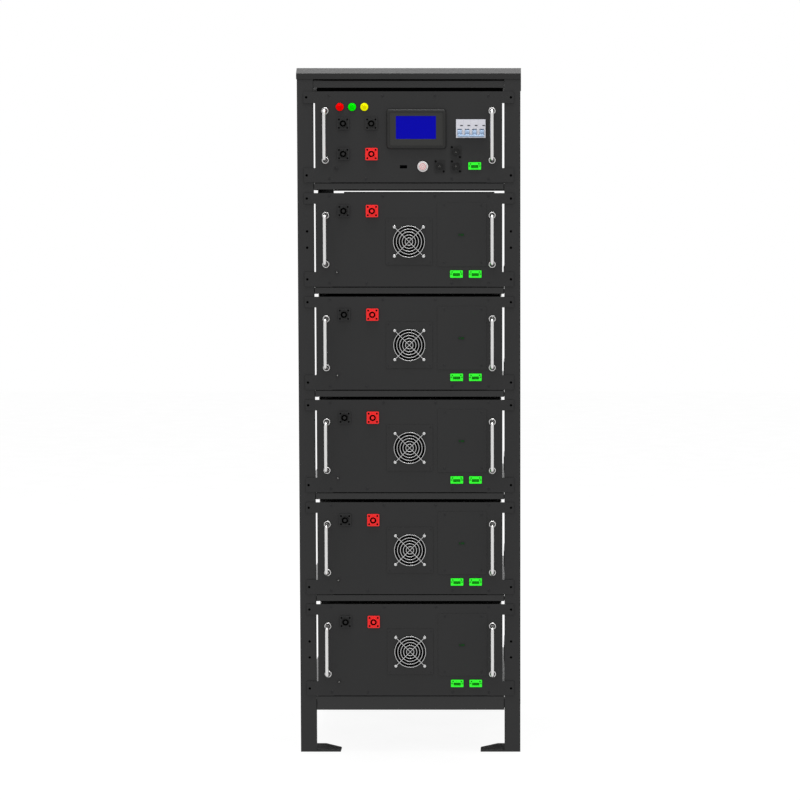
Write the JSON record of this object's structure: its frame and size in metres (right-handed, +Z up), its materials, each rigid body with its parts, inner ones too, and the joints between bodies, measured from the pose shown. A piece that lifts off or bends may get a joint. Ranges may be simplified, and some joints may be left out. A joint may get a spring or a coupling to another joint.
{
  "type": "battery rack",
  "caption": "Open-frame floor-standing battery rack: a control box with screen, lamps and breaker above sliding battery modules with pull handles and fans.",
  "frame": {"origin": "on the floor, under the middle of the bounding box", "axes": "+Z up, -Y out of the front, +X to the right seen from the front"},
  "size_m": [0.5492, 0.7478, 1.692],
  "materials": {
    "rack_paint": "matte",
    "module_paint": "matte",
    "handle_metal": "satin",
    "cells": "satin",
    "fan_plastic": "matte",
    "display_plastic": "satin",
    "breaker_white": "satin",
    "breaker_blue": "satin",
    "button_white": "gloss",
    "lens_red": "gloss",
    "lens_green": "gloss",
    "lens_yellow": "gloss",
    "electronics": "matte"
  },
  "bodies": {
    "rack": {"rack_post_front_left": "rack_paint", "rack_post_front_right": "rack_paint", "rack_post_rear_left": "rack_paint", "rack_post_rear_right": "rack_paint", "rack_top_frame": "rack_paint", "rack_top_cover": "rack_paint", "shelf_frame_1": "rack_paint", "shelf_frame_2": "rack_paint", "shelf_frame_3": "rack_paint", "shelf_frame_4": "rack_paint", "shelf_frame_5": "rack_paint", "shelf_frame_6": "rack_paint"},
    "control_box": {"control_case": "module_paint", "control_front_panel": "module_paint", "control_handle_left": "handle_metal", "control_handle_right": "handle_metal", "display_unit": "display_plastic", "main_breaker": "breaker_white", "lamp_red": "lens_red", "lamp_green": "lens_green", "lamp_yellow": "lens_yellow", "battery_manager": "electronics", "main_contactor": "electronics"},
    "breaker_toggle": {"breaker_toggle": "breaker_blue"},
    "power_button": {"power_button": "button_white"},
    "module_1": {"module_1_front_panel": "module_paint", "module_1_handle_left": "handle_metal", "module_1_handle_right": "handle_metal", "module_1_case_tray": "module_paint", "module_1_top_cover": "module_paint", "module_1_cell_pack": "cells"},
    "module_1_fan": {"module_1_fan_rotor": "fan_plastic"},
    "module_2": {"module_2_front_panel": "module_paint", "module_2_handle_left": "handle_metal", "module_2_handle_right": "handle_metal", "module_2_case_tray": "module_paint", "module_2_top_cover": "module_paint", "module_2_cell_pack": "cells"},
    "module_2_fan": {"module_2_fan_rotor": "fan_plastic"},
    "module_3": {"module_3_front_panel": "module_paint", "module_3_handle_left": "handle_metal", "module_3_handle_right": "handle_metal", "module_3_case_tray": "module_paint", "module_3_top_cover": "module_paint", "module_3_cell_pack": "cells"},
    "module_3_fan": {"module_3_fan_rotor": "fan_plastic"},
    "module_4": {"module_4_front_panel": "module_paint", "module_4_handle_left": "handle_metal", "module_4_handle_right": "handle_metal", "module_4_case_tray": "module_paint", "module_4_top_cover": "module_paint", "module_4_cell_pack": "cells"},
    "module_4_fan": {"module_4_fan_rotor": "fan_plastic"},
    "module_5": {"module_5_front_panel": "module_paint", "module_5_handle_left": "handle_metal", "module_5_handle_right": "handle_metal", "module_5_case_tray": "module_paint", "module_5_top_cover": "module_paint", "module_5_cell_pack": "cells"},
    "module_5_fan": {"module_5_fan_rotor": "fan_plastic"}
  },
  "joints": [
    {"name": "control_box_slide", "type": "slide", "parent": "rack", "child": "control_box", "axis": [0, -1, 0], "range_m": [0, 0.35]},
    {"name": "breaker_toggle_hinge", "type": "hinge", "parent": "control_box", "child": "breaker_toggle", "pos_m": [0.152, -0.3279, 1.5344], "axis": [-1, 0, 0], "range_deg": [0, 80]},
    {"name": "power_button_press", "type": "slide", "parent": "control_box", "child": "power_button", "axis": [0, 1, 0], "range_m": [0, 0.003], "stiffness_N_per_m": 600},
    {"name": "module_1_slide", "type": "slide", "parent": "rack", "child": "module_1", "axis": [0, -1, 0], "range_m": [0, 0.45]},
    {"name": "module_1_fan_spin", "type": "hinge", "parent": "module_1", "child": "module_1_fan", "pos_m": [0, -0.3146, 1.2677], "axis": [0, 1, 0], "continuous": true},
    {"name": "module_2_slide", "type": "slide", "parent": "rack", "child": "module_2", "axis": [0, -1, 0], "range_m": [0, 0.45]},
    {"name": "module_2_fan_spin", "type": "hinge", "parent": "module_2", "child": "module_2_fan", "pos_m": [0, -0.3146, 1.0137], "axis": [0, 1, 0], "continuous": true},
    {"name": "module_3_slide", "type": "slide", "parent": "rack", "child": "module_3", "axis": [0, -1, 0], "range_m": [0, 0.45]},
    {"name": "module_3_fan_spin", "type": "hinge", "parent": "module_3", "child": "module_3_fan", "pos_m": [0, -0.3146, 0.7597], "axis": [0, 1, 0], "continuous": true},
    {"name": "module_4_slide", "type": "slide", "parent": "rack", "child": "module_4", "axis": [0, -1, 0], "range_m": [0, 0.45]},
    {"name": "module_4_fan_spin", "type": "hinge", "parent": "module_4", "child": "module_4_fan", "pos_m": [0, -0.3146, 0.5057], "axis": [0, 1, 0], "continuous": true},
    {"name": "module_5_slide", "type": "slide", "parent": "rack", "child": "module_5", "axis": [0, -1, 0], "range_m": [0, 0.45]},
    {"name": "module_5_fan_spin", "type": "hinge", "parent": "module_5", "child": "module_5_fan", "pos_m": [0, -0.3146, 0.2517], "axis": [0, 1, 0], "continuous": true}
  ]
}
